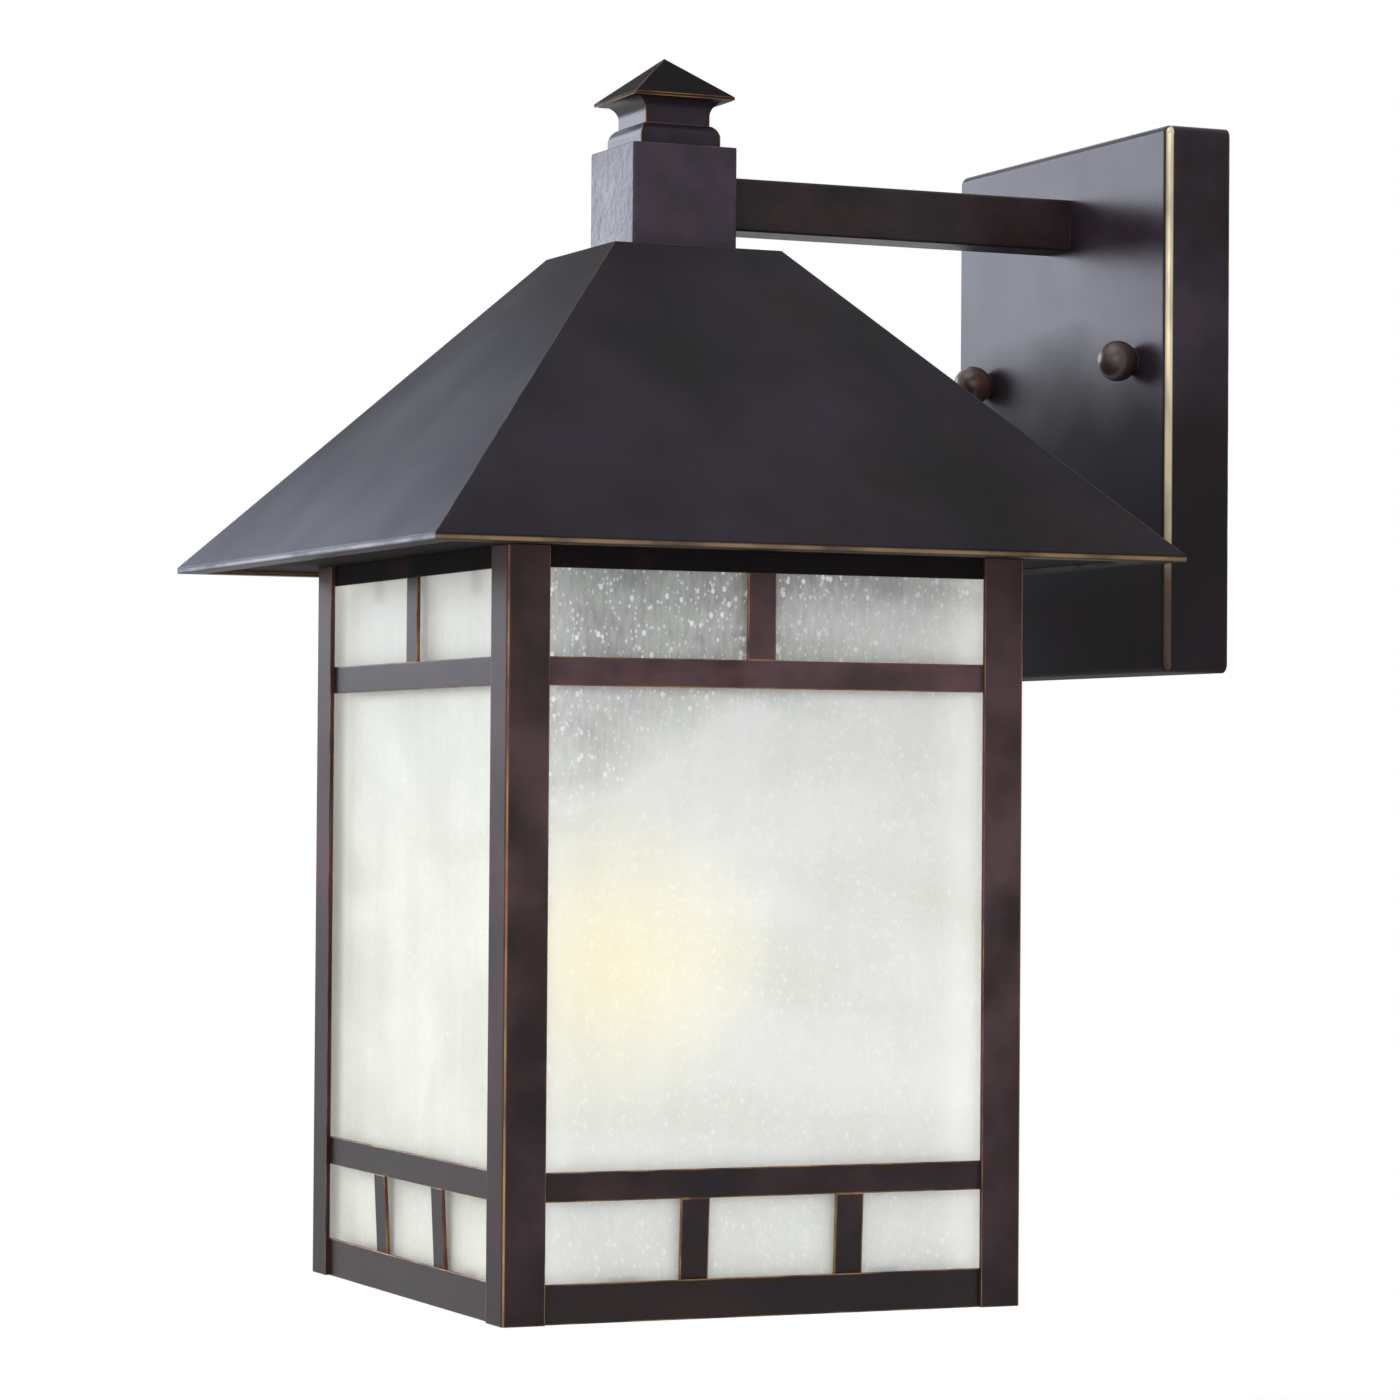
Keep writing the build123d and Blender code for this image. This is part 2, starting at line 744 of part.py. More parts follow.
# Lamp, cap upwards: a glass bulb in a brass cap with an insulated tip
cap_top = lamp_top - lamp_tip_height
cap_bottom = cap_top - lamp_base_length
bulb_radius = lamp_diameter / 2
bulb_centre = lamp_top - lamp_length + bulb_radius
neck_radius = lamp_base_diameter / 2 - lamp_base_sheet

# The hollow shoulder is an arc, tangent to the neck and to the ball of the bulb.
shoulder_rise = cap_bottom - bulb_centre
shoulder_radius = (shoulder_rise**2 + neck_radius**2 - bulb_radius**2) / (2 * (bulb_radius - neck_radius))
shoulder_angle = atan2(shoulder_rise, neck_radius + shoulder_radius)


def bulb(inset):
    # A solid bulb, smaller by the inset all over, from its open neck down to its round end.
    with BuildPart() as envelope:
        with BuildSketch(front_section):
            with BuildLine():
                radius, neck = bulb_radius - inset, neck_radius - inset
                neck_z = cap_bottom + lamp_neck_grip
                meet = (radius * cos(shoulder_angle), bulb_centre + radius * sin(shoulder_angle))
                side = (radius * cos(lamp_side_angle), bulb_centre - radius * sin(lamp_side_angle))
                Polyline((0, neck_z), (neck, neck_z), (neck, cap_bottom))
                RadiusArc((neck, cap_bottom), meet, -(shoulder_radius + inset))
                ThreePointArc(meet, side, (0, bulb_centre - radius))
                Line((0, bulb_centre - radius), (0, neck_z))
            make_face()
        revolve(axis=Axis((0, -reach, 0), (0, 0, 1)))
    return envelope


with BuildPart() as bulb_glass:
    add(bulb(0).part)
    add(bulb(lamp_glass).part, mode=Mode.SUBTRACT)
save(bulb_glass, "bulb_glass")

with BuildPart() as bulb_base:
    with BuildSketch(front_section):
        with BuildLine():
            outer, inner = lamp_base_diameter / 2, neck_radius
            Polyline(
                (lamp_tip_diameter / 2, cap_top),
                (outer - lamp_tip_height / 2, cap_top),
                (outer, cap_top - lamp_tip_height / 2),
                (outer, cap_bottom),
                (inner, cap_bottom),
                (inner, cap_top - lamp_tip_height / 2 - lamp_base_sheet / 2),
                (inner - lamp_tip_height / 2, cap_top - lamp_base_sheet),
                (lamp_tip_diameter / 2, cap_top - lamp_base_sheet),
                close=True,
            )
        make_face()
    revolve(axis=Axis((0, -reach, 0), (0, 0, 1)))
save(bulb_base, "bulb_base")

with BuildPart() as bulb_tip:
    with BuildSketch(front_section):
        with BuildLine():
            Polyline(
                (0, cap_top - lamp_base_sheet),
                (lamp_tip_diameter / 2, cap_top - lamp_base_sheet),
                (lamp_tip_diameter / 2, cap_top),
                (lamp_tip_collar / 2, cap_top),
                (lamp_solder_diameter / 2, lamp_top),
                (0, lamp_top),
                close=True,
            )
        make_face()
    revolve(axis=Axis((0, -reach, 0), (0, 0, 1)))
save(bulb_tip, "bulb_tip")
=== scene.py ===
import bpy
import math
from mathutils import Matrix, Vector


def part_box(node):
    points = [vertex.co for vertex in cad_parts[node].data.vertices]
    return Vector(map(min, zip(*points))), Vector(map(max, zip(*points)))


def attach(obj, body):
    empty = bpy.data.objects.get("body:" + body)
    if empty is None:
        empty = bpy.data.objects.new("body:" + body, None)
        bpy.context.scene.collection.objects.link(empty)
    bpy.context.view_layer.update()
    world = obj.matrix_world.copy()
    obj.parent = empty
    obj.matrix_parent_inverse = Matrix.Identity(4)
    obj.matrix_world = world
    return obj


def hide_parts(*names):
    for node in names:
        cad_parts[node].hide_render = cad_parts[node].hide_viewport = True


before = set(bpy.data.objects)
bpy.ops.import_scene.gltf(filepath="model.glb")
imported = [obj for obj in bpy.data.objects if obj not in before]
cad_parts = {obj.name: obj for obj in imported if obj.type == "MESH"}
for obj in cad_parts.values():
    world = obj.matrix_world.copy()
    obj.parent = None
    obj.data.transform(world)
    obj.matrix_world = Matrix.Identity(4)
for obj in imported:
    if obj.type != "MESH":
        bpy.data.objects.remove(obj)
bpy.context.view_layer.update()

scene = bpy.context.scene
nodes = {name: bpy.data.objects[name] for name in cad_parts}
postNames = ("front_left", "front_right", "rear_left", "rear_right")
cage = {
    "axisY": -0.145,       # the lantern's upright axis stands this far off the wall
    "half": 0.075,
    "foldTop": -0.0579,    # upper and lower fold of the eave
    "foldBottom": -0.0596,
    "glassTop": -0.064,
    "paneTop": -0.0946,
}
print("frame loaded:", len(nodes), "nodes")


# Node trees

noiseSpan = (0.3, 0.7)    # where most of a noise's values lie


class NodeTree:
    # A material's nodes, with short ways to add the few kinds that the finishes need.
    def __init__(self, name):
        self.material = bpy.data.materials.new(name)
        self.material.use_nodes = True
        self.tree = self.material.node_tree
        self.tree.nodes.clear()
        self.output = self.tree.nodes.new("ShaderNodeOutputMaterial")
        coords = self.tree.nodes.new("ShaderNodeTexCoord")
        self.place = coords.outputs["Object"]
        self.facing = coords.outputs["Normal"]

    def add(self, kind, **inputs):
        node = self.tree.nodes.new("ShaderNode" + kind)
        for key, value in inputs.items():
            self.feed(node.inputs[key.replace("_", " ")], value)
        return node

    def feed(self, socket, value):
        if isinstance(value, bpy.types.NodeSocket):
            self.tree.links.new(value, socket)
        else:
            socket.default_value = value

    def math(self, operation, first, second=0.5, clamp=False):
        node = self.add("Math")
        node.operation = operation
        node.use_clamp = clamp
        self.feed(node.inputs[0], first)
        self.feed(node.inputs[1], second)
        return node.outputs[0]

    def times(self, first, second):
        return self.math("MULTIPLY", first, second, True)

    def scaled(self, value, factor):
        return self.math("MULTIPLY", value, factor)

    def plus(self, first, second):
        return self.math("ADD", first, second)

    def minus(self, first, second):
        return self.math("SUBTRACT", first, second)

    def unsigned(self, value):
        return self.math("ABSOLUTE", value)

    def axes(self, vector):
        return self.add("SeparateXYZ", Vector=vector).outputs

    def noise(self, scale, detail=3.0, stretch=(1, 1, 1), roughness=0.5, seed=0.0):
        shift = (seed, seed * 0.7, seed * 0.3)
        mapping = self.add("Mapping", Vector=self.place, Scale=stretch, Location=shift)
        inputs = {"Scale": scale, "Detail": detail, "Roughness": roughness}
        return self.add("TexNoise", Vector=mapping.outputs[0], **inputs).outputs[0]

    def ramp(self, value, low, high, start=0.0, end=1.0):
        # Maps low..high to start..end, held at both ends.
        node = self.add("MapRange", Value=value)
        for socket, number in zip(node.inputs[1:5], (low, high, start, end)):
            self.feed(socket, number)
        return node.outputs[0]

    def line(self, value, centre, half):
        # One near a coordinate's value, none past half away from it.
        return self.ramp(self.unsigned(self.minus(value, centre)), half, half * 0.4)

    def mix(self, share, first, second):
        node = self.tree.nodes.new("ShaderNodeMix")
        node.data_type = "RGBA"
        self.feed(node.inputs[0], share)
        self.feed(node.inputs[6], first)
        self.feed(node.inputs[7], second)
        return node.outputs[2]

    def finish(self, shader):
        self.tree.links.new(shader, self.output.inputs["Surface"])
        return self.material


def colour(hexCode):
    # The linear colour of a code as a paint chart gives it.
    parts = [int(hexCode[i:i + 2], 16) / 255 for i in (1, 3, 5)]
    return tuple(p / 12.92 if p <= 0.04045 else ((p + 0.055) / 1.055) ** 2.4 for p in parts) + (1.0,)


# Bronze finish: a dark rubbed coat, thin reddish patches, bare metal on the edges

bronzeLook = {
    "dark": "#171114",
    "purple": "#241b22",
    "red": "#4a2a28",
    "gold": "#d0a05a",
    "copper": "#9c5c48",
    "goldShare": 0.5,                # how much of the bare metal is gold, the rest is copper
    "goldAbove": 0.6,                # value of the metals' noise between copper and gold, with no goldShare
    "goldGain": 0.2,                 # how far a full goldShare lowers it
    "goldGrain": 45.0,
    "goldBlur": 0.06,
    "mottle": 38.0,                  # patches to a metre
    "patchSpan": (0.38, 0.64),       # of the noise, from the dark coat to the purple one
    "grain": 1100.0,
    "roughness": (0.34, 0.46),
    "shine": 0.2,
    "bareMetal": 0.75,
    "wearRadius": 0.0005,
    "wearSamples": 6,
    "wear": 0.8,
    "edgeTurn": (0.985, 0.90),       # cosine of the turn where wear starts, and where it is full
    "edgeGrain": 120.0,
    "broken": (0.34, 0.62),
    "leastWear": 0.12,
    "rub": 0.3,
    "rubScale": 1.7,                 # times the mottle
    "rubRoughness": 0.6,
    "rubSpan": (0.5, 0.72),
    "rubStretch": (1, 1, 1),
    "bump": 0.04,
    "bumpDepth": 0.0005,
    "seed": 0.0,
    "fade": None,                    # painted shade, from the function below: turns the coat to one more tone along the height
    "fadeUneven": 0.2,
    "fadeFacing": None,              # the axis that the faces with painted shade look along, where not all of them have it
    "glaze": None,                   # (tone, share) a painted reflection that tints what the painted shade leaves of those faces
    "marks": None,                   # adds bare places to the edges; on the plate they carry a painted highlight too
    "goldWhere": None,               # says where the bare metal is gold and not copper, in place of patches; on the plate the pale gold is a painted highlight and the copper painted shade
    "wearFrom": None,                # height above which the edges are worn, where not all of them are
    "wearBlur": 0.001,
}


def fadeTo(tone, share, start, end, matt=0.0):
    # Painted shade: none of the tone at the height start, and its share at the height end. matt adds to the
    # roughness.
    return {"tone": colour(tone), "share": share, "start": start, "end": end, "matt": matt}


def edgeWear(t, look, rounded):
    # An edge is where the rounded normal leaves the true one.
    dot = t.add("VectorMath")
    dot.operation = "DOT_PRODUCT"
    t.feed(dot.inputs[0], rounded)
    t.feed(dot.inputs[1], t.add("NewGeometry").outputs["Normal"])
    edge = t.ramp(dot.outputs["Value"], *look["edgeTurn"])
    patches = t.noise(look["edgeGrain"], detail=4, seed=look["seed"] + 7.7)
    broken = t.ramp(patches, *look["broken"], look["leastWear"], 1.0)
    return t.times(t.times(edge, broken), look["wear"])


def faded(t, look, patches, coat, roughness):
    # The coat and its roughness with the painted shade, and with the painted reflection on what the shade
    # leaves.
    fade = look["fade"]
    uneven = abs(fade["end"] - fade["start"]) * look["fadeUneven"]
    height = t.plus(t.axes(t.place)[2], t.ramp(patches, *noiseSpan, -uneven, uneven))
    share = t.ramp(height, fade["start"], fade["end"])
    if look["fadeFacing"] is not None:
        facing = t.unsigned(t.axes(t.facing)[look["fadeFacing"]])
        share = t.times(share, facing)
    coat = t.mix(t.times(share, fade["share"]), coat, fade["tone"])
    if look["glaze"]:
        tint, strength = look["glaze"]
        glazed = t.math("SUBTRACT", facing, share, True)
        coat = t.mix(t.times(glazed, strength), coat, colour(tint))
    return coat, t.plus(roughness, t.times(share, fade["matt"]))


def bronze(name, **changes):
    look = dict(bronzeLook, **changes)
    t = NodeTree(name)
    seed = look["seed"]
    patches = t.noise(look["mottle"], detail=4, seed=seed)
    coat = t.mix(t.ramp(patches, *look["patchSpan"]), colour(look["dark"]), colour(look["purple"]))
    rubbed = t.noise(
        look["mottle"] * look["rubScale"],
        detail=5,
        stretch=look["rubStretch"],
        roughness=look["rubRoughness"],
        seed=seed + 3.1,
    )
    coat = t.mix(t.times(t.ramp(rubbed, *look["rubSpan"]), look["rub"]), coat, colour(look["red"]))
    roughness = t.ramp(patches, *noiseSpan, *look["roughness"])
    if look["fade"]:
        coat, roughness = faded(t, look, patches, coat, roughness)

    rounded = t.add("Bevel", Radius=look["wearRadius"])
    rounded.samples = look["wearSamples"]
    worn = edgeWear(t, look, rounded.outputs[0])
    if look["wearFrom"] is not None:
        height = t.axes(t.place)[2]
        worn = t.times(worn, t.ramp(height, look["wearFrom"] - look["wearBlur"], look["wearFrom"]))
    if look["marks"]:
        worn = t.math("MAXIMUM", worn, look["marks"](t))
    if look["goldWhere"]:
        golden = look["goldWhere"](t)
    else:
        middle = look["goldAbove"] - look["goldGain"] * look["goldShare"]
        metals = t.noise(look["goldGrain"], detail=2, seed=seed + 5.2)
        golden = t.ramp(metals, middle - look["goldBlur"], middle + look["goldBlur"])
    bare = t.mix(golden, colour(look["copper"]), colour(look["gold"]))

    bump = t.add(
        "Bump",
        Strength=look["bump"],
        Distance=look["bumpDepth"],
        Height=t.noise(look["grain"], detail=3, seed=seed),
        Normal=rounded.outputs[0],
    )
    shader = t.add(
        "BsdfPrincipled",
        Base_Color=t.mix(worn, coat, bare),
        Metallic=t.ramp(worn, 0, 1, 0.0, look["bareMetal"]),
        Roughness=roughness,
        Specular_IOR_Level=look["shine"],
        Normal=bump.outputs[0],
    )
    return t.finish(shader.outputs[0])


plateEdgeWearAndHighlight = {
    "turn": (0.46, 0.6),             # how far the round faces to the side where wear starts, and is full
    "flatSide": (0.9995, 0.99),      # leaves out the side's flat face
    "front": (-0.05, -0.12),         # leaves out what doesn't face forwards
    "shadeBelowEave": (-0.06, -0.045, 0.45, 1.0),    # two heights and the wear at each: less below the eave, as painted shade
    "highlightFrom": (-0.062, -0.05),
    "grain": 90.0,
    "stretch": (1, 1, 0.3),
    "broken": (0.3, 0.5, 0.4, 0.95),
}


def highlightAboveEave(t):
    # The plate's edge is pale gold down to the eave, a painted highlight on its wear, and copper below it,
    # in painted shade.
    return t.ramp(t.axes(t.place)[2], *plateEdgeWearAndHighlight["highlightFrom"])


def plateEdgeMarksAndHighlight(t):
    # The plate's upright corners, worn and painted with a highlight along the part of the round that faces
    # more to the side.
    facing = t.axes(t.facing)
    side = t.unsigned(facing[0])
    rounded = t.times(t.ramp(side, *plateEdgeWearAndHighlight["turn"]), t.ramp(side, *plateEdgeWearAndHighlight["flatSide"]))
    front = t.ramp(facing[1], *plateEdgeWearAndHighlight["front"])
    lower = t.ramp(t.axes(t.place)[2], *plateEdgeWearAndHighlight["shadeBelowEave"])
    patches = t.noise(plateEdgeWearAndHighlight["grain"], detail=4, stretch=plateEdgeWearAndHighlight["stretch"], seed=1.3)
    return t.times(t.times(t.times(rounded, front), lower), t.ramp(patches, *plateEdgeWearAndHighlight["broken"]))


eaveWear = {
    "down": 0.58,                    # the line's place down the eave's upright face, as a share of it
    "half": 0.0007,
    "grain": 60.0,
    "broken": (0.35, 0.6, 0.2, 0.6),
    "hip": 0.002,                    # half of the blur between one side's metal and the next's
}


def besideCage(t):
    # One over the lantern's right and left sides, none over its front and back.
    place = t.axes(t.place)
    outY = t.unsigned(t.minus(place[1], cage["axisY"]))
    return t.ramp(t.minus(t.unsigned(place[0]), outY), -eaveWear["hip"], eaveWear["hip"])


def eaveMarks(t):
    # A thin bright line along the eave's upright face, broken by rubbing.
    middle = cage["foldTop"] * (1 - eaveWear["down"]) + cage["foldBottom"] * eaveWear["down"]
    line = t.line(t.axes(t.place)[2], middle, eaveWear["half"])
    patches = t.noise(eaveWear["grain"], detail=3, seed=2.4)
    return t.times(line, t.ramp(patches, *eaveWear["broken"]))


postWear = {
    "turn": (0.42, 0.60),            # how far the round faces both ways where wear starts, and is full
    "outer": (0.0016, 0.0012),       # depth from the cage's side within which a corner is the outer one
    "grain": 70.0,
    "stretch": (1, 1, 0.6),
    "broken": (0.34, 0.62, 0.3, 0.9),
}


def postMarks(t):
    # The middle of the post's rounded outer corner, rubbed through to the metal.
    facing = t.axes(t.facing)
    least = t.math("MINIMUM", t.unsigned(facing[0]), t.unsigned(facing[1]))
    outX = t.unsigned(t.axes(t.place)[0])
    outer = t.ramp(outX, *(cage["half"] - depth for depth in postWear["outer"]))
    corner = t.times(t.ramp(least, *postWear["turn"]), outer)
    patches = t.noise(postWear["grain"], detail=4, stretch=postWear["stretch"], seed=3.3)
    return t.times(corner, t.ramp(patches, *postWear["broken"]))


sheetWear = {
    "cut": (0.7, 0.3),               # how squarely a face looks out, from a sheet's face to its cut edge
    "downward": (-0.6, -0.3),        # leaves out the faces that look down
    "grain": 55.0,
    "broken": (0.40, 0.66, 0.08, 0.5),
}


def sheetMarks(outward):
    # The cut edges of the thin rails, rubbed through where they face along the side or upwards.
    def marks(t):
        facing = t.axes(t.facing)
        cut = t.ramp(t.unsigned(facing[outward]), *sheetWear["cut"])
        cut = t.times(cut, t.ramp(facing[2], *sheetWear["downward"]))
        patches = t.noise(sheetWear["grain"], detail=4, seed=6.1)
        return t.times(cut, t.ramp(patches, *sheetWear["broken"]))
    return marks


# Glass, lamp and small parts

glassLook = {
    "roughness": (0.34, 0.50),
    "bend": 1.45,                    # the glass's index of refraction
    "clear": 0.3,                    # share of light that goes straight through, the rest is scattered
    "translucent": 0.1,
    "clouds": 24.0,                  # to a metre
    "cloudWarp": 0.9,
    "cloudSpan": (0.35, 0.65),
    "drift": (0.3, 0.2, 0),          # the clouds in the glass lie aslant
    "driftStretch": (1, 0.4, 1.4),
    "streaks": 150.0,
    "streakRoughness": 0.6,
    "paleShares": (0.6, 0.4),        # of the pale tone, by clouds and by streaks
    "rain": 640.0,                   # fine upright streaks
    "rainStretch": 0.3,
    "rainShare": 0.35,
    # the seeds are bubbles in the glass; their white tone and glow are painted glints
    "seed": "#ffffff",
    "seeds": (500.0, 0.0, 0.32, 2.0),    # to a metre, least and largest radius in cells, noise seed
    "pips": (980.0, 0.1, 0.42, 4.0),
    "pipShare": 0.6,
    "seedStretch": (1, 1, 0.7),
    "seedChance": (0.2, 1.0),
    "seedBlur": 0.1,
    # painted glint: how much the seeds glow
    "seedGlow": 0.22,
    "rimGlow": 0.14,                 # painted glow along the pane's upright edges, in place of light caught there
    "rimWidth": 0.014,
    "open": 0.0623,                  # half of the pane between the posts
    "upperEdge": 0.018,              # height over which the upper lites' painted glow grows
    "reliefShares": (0.5, 0.5),      # of the relief, by seeds and by streaks
    "relief": (0.2, 0.0004),         # strength and depth
    "shadowTint": (0.75, 0.76, 0.74, 1),
    "shadowClear": 0.85,             # share of lamp light that the pane lets through
}
# Painted shade on the side pane under the roof and near its foot, and a painted patch of the lamp's light
shadeLook = {
    "tone": "#877b84",
    "mist": "#9da69d",               # the other tone of the painted shade
    "mistGrain": 60.0,
    "mistSpan": (0.42, 0.58),
    "depth": 0.5,
    "cornerY": -0.2175,              # the shade is deepest in the pane's upper corner on this side
    "slope": 0.42,                   # how much sooner the shade ends away from that corner
    "reach": (0.078, 0.036),         # down from the glass's top, where the shade ends, and is full
    "wisp": 0.013,                   # how far the clouds shift its end
    "foot": (-0.216, -0.226, 0.0, 0.05),    # two heights near the pane's foot and the painted shade at each
    "rainDepth": (0.66, 1.38),       # times the shade, by the upright streaks
    "seedDepth": (0.0, 0.5, 0.36, 1.0),     # two depths of the shade and how much seeds show in each
    "lamp": "#fff7d6",
    "lampBeside": 0.045,             # from the lantern's axis to the middle of the painted patch of lamp light
    "lampHeight": -0.168,
    "lampReach": 0.046,
    "lampShare": 0.7,
}


def shaded(t, tone, seeds, cloud, rain):
    # Painted shade on the side pane under the roof, and a painted warm patch of the lamp's light.
    look = shadeLook
    place = t.axes(t.place)
    along = t.plus(place[1], -look["cornerY"])
    down = t.minus(cage["glassTop"], place[2])
    wisps = t.ramp(cloud, *glassLook["cloudSpan"], -look["wisp"], look["wisp"])
    reach = t.plus(t.plus(down, t.scaled(along, look["slope"])), wisps)
    dim = t.ramp(reach, *look["reach"], 0.0, look["depth"])
    seeds = t.times(seeds, t.ramp(dim, *look["seedDepth"]))
    dim = t.math("MAXIMUM", dim, t.ramp(place[2], *look["foot"]))
    dim = t.times(dim, t.ramp(rain, *noiseSpan, *look["rainDepth"]))
    misty = t.ramp(t.noise(look["mistGrain"], detail=3, seed=11.0), *look["mistSpan"])
    tone = t.mix(dim, tone, t.mix(misty, colour(look["tone"]), colour(look["mist"])))

    offY = t.minus(t.minus(cage["axisY"], place[1]), look["lampBeside"])
    offZ = t.minus(place[2], look["lampHeight"])
    far = t.math("SQRT", t.plus(t.scaled(offY, offY), t.scaled(offZ, offZ)))
    paintedLampLight = t.ramp(far, look["lampReach"], 0.0, 0.0, look["lampShare"])
    return t.mix(paintedLampLight, tone, colour(look["lamp"])), seeds


def spots(t, flat, scale, low, high, seed):
    # Small round bubbles, each of its own size.
    stretch = tuple(f * s for f, s in zip(flat, glassLook["seedStretch"]))
    mapping = t.add("Mapping", Vector=t.place, Scale=stretch, Location=(seed, seed, seed))
    cells = t.add("TexVoronoi", Vector=mapping.outputs[0], Scale=scale)
    chance = t.axes(cells.outputs["Color"])[0]
    size = t.ramp(chance, *glassLook["seedChance"], low, high)
    return t.ramp(t.minus(size, cells.outputs["Distance"]), 0.0, glassLook["seedBlur"])


paneLooks = {
    "front": {
        "flat": (1, 0, 1),           # leaves out the axis that the pane faces
        "streak": (1, 1, 0.08),
        "seedShow": 0.25,
        "dull": "#e6e6dc",
        "pale": "#fbfbf2",
        "lift": (0.03, 0.11),        # painted glow below the upper transom, and above it
        "shaded": False,
    },
    "side": {
        "flat": (0, 1, 1),
        "streak": (1, 1, 0.3),
        "seedShow": 0.95,
        "dull": "#efefe8",
        "pale": "#ffffff",
        "lift": (0.01, 0.02),
        "shaded": True,
    },
}


def seedyGlass(name, pane):
    t = NodeTree(name)
    look = glassLook
    flat = pane["flat"]
    dull, pale, white = (colour(tone) for tone in (pane["dull"], pane["pale"], look["seed"]))
    place = t.axes(t.place)
    seeds = spots(t, flat, *look["seeds"])
    seeds = t.math("MAXIMUM", seeds, t.times(spots(t, flat, *look["pips"]), look["pipShare"]))
    fine = {"roughness": look["streakRoughness"]}
    streaks = t.noise(look["streaks"], detail=4, stretch=pane["streak"], seed=1.3, **fine)
    rainStretch = (flat[0], flat[1], look["rainStretch"])
    rain = t.noise(look["rain"], detail=3, stretch=rainStretch, seed=2.6, **fine)
    drift = t.add("Mapping", Vector=t.place, Rotation=look["drift"], Scale=look["driftStretch"])
    clouds = {"Scale": look["clouds"], "Detail": 4, "Distortion": look["cloudWarp"]}
    cloud = t.add("TexNoise", Vector=drift.outputs[0], **clouds).outputs[0]

    byCloud, byStreak = look["paleShares"]
    cloudy = t.ramp(cloud, *look["cloudSpan"], 0.0, byCloud)
    tone = t.mix(t.plus(cloudy, t.ramp(streaks, *noiseSpan, 0.0, byStreak)), dull, pale)
    tone = t.mix(t.ramp(rain, *noiseSpan, 0.0, look["rainShare"]), tone, dull)
    if pane["shaded"]:
        tone, seeds = shaded(t, tone, seeds, cloud, rain)
        sideways = t.unsigned(t.minus(place[1], cage["axisY"]))
    else:
        sideways = t.unsigned(place[0])
    # painted glints: the seeds are drawn white, and glow below
    seeds = t.times(seeds, pane["seedShow"])
    tone = t.mix(seeds, tone, white)

    # Painted light: the pane glows along its upright edges and over the upper lites, besides the seeds'
    # glints
    rim = t.ramp(sideways, look["open"] - look["rimWidth"], look["open"])
    rim = t.scaled(t.times(rim, rim), look["rimGlow"])
    upper = t.ramp(place[2], cage["paneTop"], cage["paneTop"] + look["upperEdge"], *pane["lift"])
    glow = t.plus(t.plus(t.times(seeds, look["seedGlow"]), rim), upper)
    bySeed, byStreak = look["reliefShares"]
    height = t.plus(t.scaled(seeds, bySeed), t.scaled(streaks, byStreak))
    strength, depth = look["relief"]
    body = t.add(
        "BsdfPrincipled",
        Base_Color=tone,
        Roughness=t.ramp(cloud, *noiseSpan, *look["roughness"]),
        IOR=look["bend"],
        Transmission_Weight=look["clear"],
        Emission_Color=t.mix(glow, (0, 0, 0, 1), white),
        Emission_Strength=1.0,
        Normal=t.add("Bump", Strength=strength, Distance=depth, Height=height).outputs[0],
    )
    behind = t.add("BsdfTranslucent", Color=tone)
    slab = t.add("MixShader", Fac=look["translucent"])
    t.feed(slab.inputs[1], body.outputs[0])
    t.feed(slab.inputs[2], behind.outputs[0])
    through = t.add("BsdfTransparent", Color=look["shadowTint"])
    shadowRays = t.add("LightPath").outputs["Is Shadow Ray"]
    lampLight = t.add("MixShader", Fac=t.scaled(shadowRays, look["shadowClear"]))
    t.feed(lampLight.inputs[1], slab.outputs[0])
    t.feed(lampLight.inputs[2], through.outputs[0])
    return t.finish(lampLight.outputs[0])


lampLook = {
    "tones": ("#f3ead2", "#fbf6ea"),
    "cloud": 60.0,
    "grain": 1400.0,
    "relief": (0.05, 0.0002),
    "roughness": 0.35,
    "glow": "#fff0c4",
    "strength": (-0.122, -0.156, 0.3, 2.2),    # two heights and the glow at each
}


def frostedLamp(name, look):
    t = NodeTree(name)
    first, second = (colour(tone) for tone in look["tones"])
    strength, depth = look["relief"]
    grain = t.noise(look["grain"], detail=2)
    shader = t.add(
        "BsdfPrincipled",
        Base_Color=t.mix(t.noise(look["cloud"], detail=3), first, second),
        Roughness=look["roughness"],
        Emission_Color=colour(look["glow"]),
        Emission_Strength=t.ramp(t.axes(t.place)[2], *look["strength"]),
        Normal=t.add("Bump", Strength=strength, Distance=depth, Height=grain).outputs[0],
    )
    return t.finish(shader.outputs[0])


plainLook = {
    "patchSpan": (0.35, 0.65),
    "grain": 14,                     # times the patches
    "roughnessSpread": (-0.06, 0.08),
    "relief": (0.05, 0.0003),
}


def plainFinish(name, first, second, roughness, metal=0.0, scale=80.0):
    # Two near shades in patches, with a fine grain: for plated steel, brass, porcelain and rubber.
    t = NodeTree(name)
    look = plainLook
    patches = t.noise(scale, detail=4)
    grain = t.noise(scale * look["grain"], detail=3)
    smooth, rough = (roughness + spread for spread in look["roughnessSpread"])
    strength, depth = look["relief"]
    shader = t.add(
        "BsdfPrincipled",
        Base_Color=t.mix(t.ramp(patches, *look["patchSpan"]), colour(first), colour(second)),
        Metallic=metal,
        Roughness=t.ramp(grain, *noiseSpan, smooth, rough),
        Normal=t.add("Bump", Strength=strength, Distance=depth, Height=grain).outputs[0],
    )
    return t.finish(shader.outputs[0])


